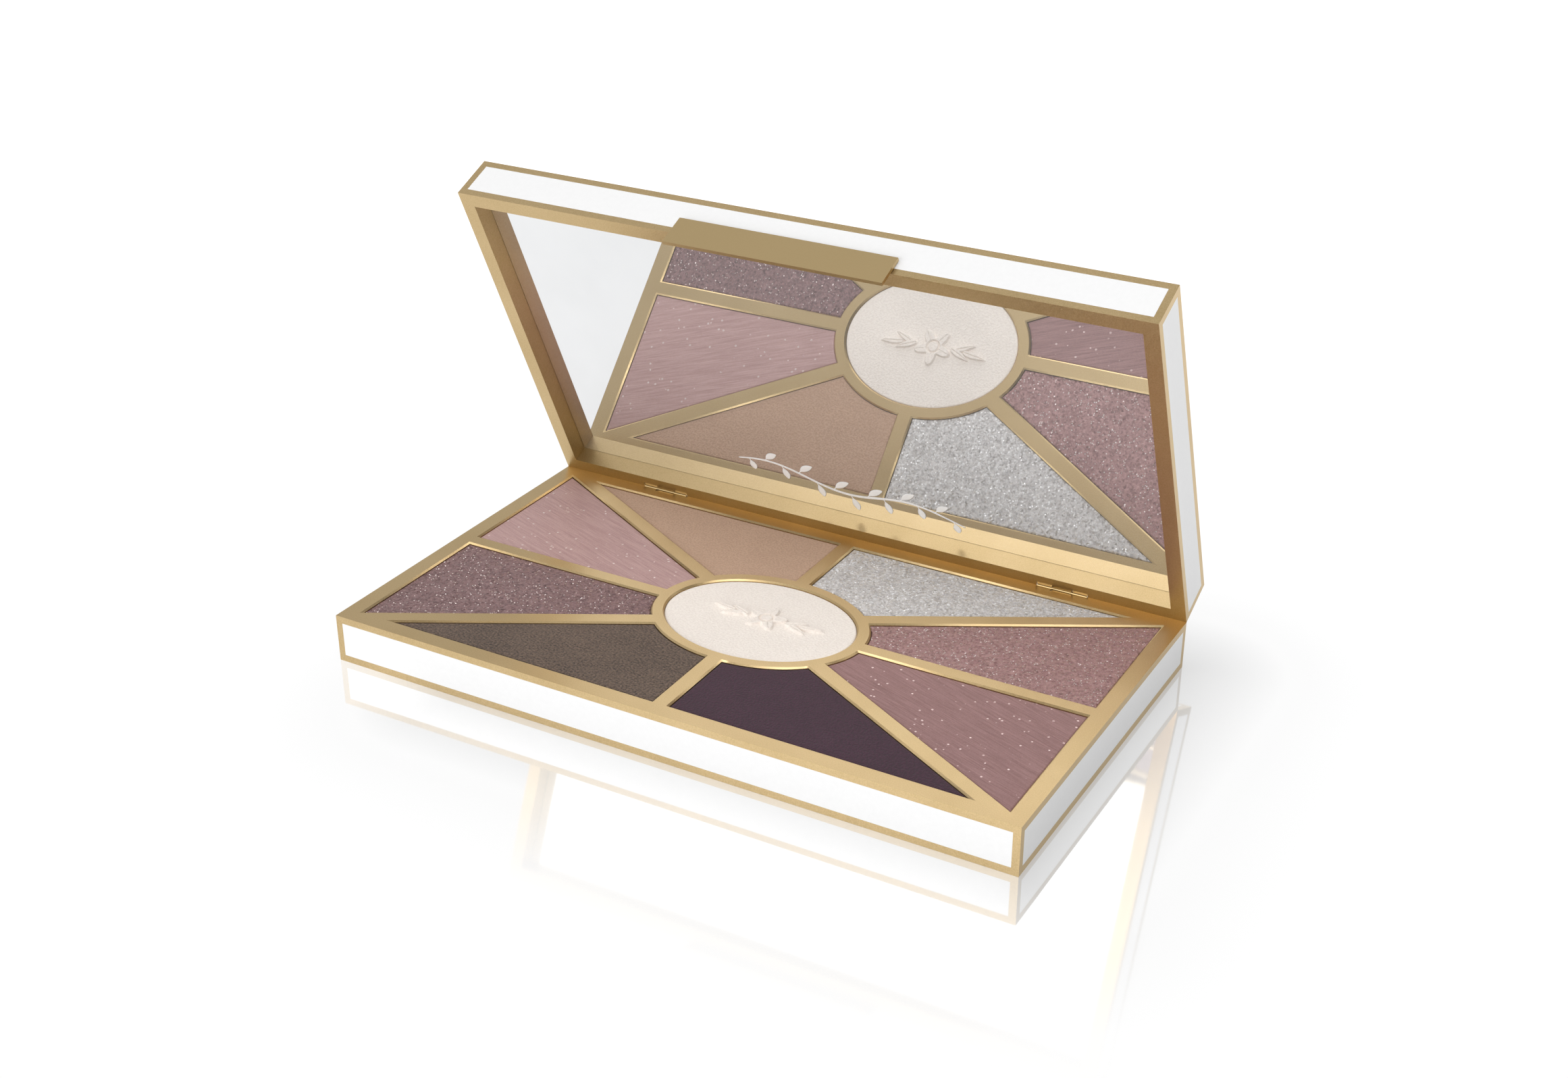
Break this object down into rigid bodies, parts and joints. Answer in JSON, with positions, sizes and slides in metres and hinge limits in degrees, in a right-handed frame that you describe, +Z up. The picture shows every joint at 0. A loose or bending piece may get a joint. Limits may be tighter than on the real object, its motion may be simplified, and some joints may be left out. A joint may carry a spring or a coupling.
{
  "type": "eyeshadow palette",
  "caption": "Flat hinged make-up palette with pressed eyeshadows in a gold sunburst frame and a mirror in the lid; the lid swings open and stays put.",
  "frame": {"origin": "centre of the base's underside", "axes": "+X along the width to the user's right, +Y to the hinge at the back, +Z up"},
  "size_m": [0.14, 0.085, 0.0832],
  "materials": {
    "gold_case": "vacuum-metallised champagne gold, fine satin grain",
    "gold_frame": "vacuum-metallised champagne gold, fine satin grain",
    "white_inlay": "smooth white, soft gloss",
    "gold_tab": "gold-plated steel plate, satin",
    "mirror": "silvered glass",
    "inner_moulding": "natural moulded plastic, hidden",
    "tinplate": "pressed tinplate",
    "adhesive": "hot-melt adhesive and double-sided tape",
    "magnet": "nickel-plated magnet",
    "pin_steel": "drawn wire, gold-plated",
    "powder_left_back": "pressed powder, pale pink satin",
    "powder_left_front": "pressed powder, mauve brown shimmer",
    "powder_right_back": "pressed powder, rose shimmer",
    "powder_right_front": "pressed powder, mauve satin",
    "powder_back_left": "pressed powder, nude matte",
    "powder_back_right": "pressed powder, silver shimmer",
    "powder_front_left": "pressed powder, taupe matte",
    "powder_front_right": "pressed powder, plum matte",
    "powder_centre": "pressed powder, ivory matte"
  },
  "bodies": {
    "base": {"base_shell": "gold_case", "base_bottom_panel": "white_inlay", "base_front_panel": "white_inlay", "base_back_panel": "white_inlay", "base_left_panel": "white_inlay", "base_right_panel": "white_inlay", "shade_frame": "gold_frame", "pan_tray": "inner_moulding", "pan_glue": "adhesive", "closure_magnets": "magnet", "hinge_pins": "pin_steel", "pan_left_back": "tinplate", "pan_left_front": "tinplate", "pan_right_back": "tinplate", "pan_right_front": "tinplate", "pan_back_left": "tinplate", "pan_back_right": "tinplate", "pan_front_left": "tinplate", "pan_front_right": "tinplate", "pan_centre": "tinplate", "powder_left_back": "powder_left_back", "powder_left_front": "powder_left_front", "powder_right_back": "powder_right_back", "powder_right_front": "powder_right_front", "powder_back_left": "powder_back_left", "powder_back_right": "powder_back_right", "powder_front_left": "powder_front_left", "powder_front_right": "powder_front_right", "powder_centre": "powder_centre"},
    "lid": {"lid_shell": "gold_case", "lid_top_panel": "white_inlay", "lid_front_panel": "white_inlay", "lid_back_panel": "white_inlay", "lid_left_panel": "white_inlay", "lid_right_panel": "white_inlay", "mirror_glass": "mirror", "mirror_tape": "adhesive", "mirror_carrier": "inner_moulding", "closure_tab": "gold_tab", "tab_tape": "adhesive"}
  },
  "joints": [
    {"name": "lid_hinge", "type": "hinge", "parent": "base", "child": "lid", "pos_m": [0, 0.0381, 0.0096], "axis": [-1, 0, 0], "range_deg": [-66, 113.5]}
  ]
}
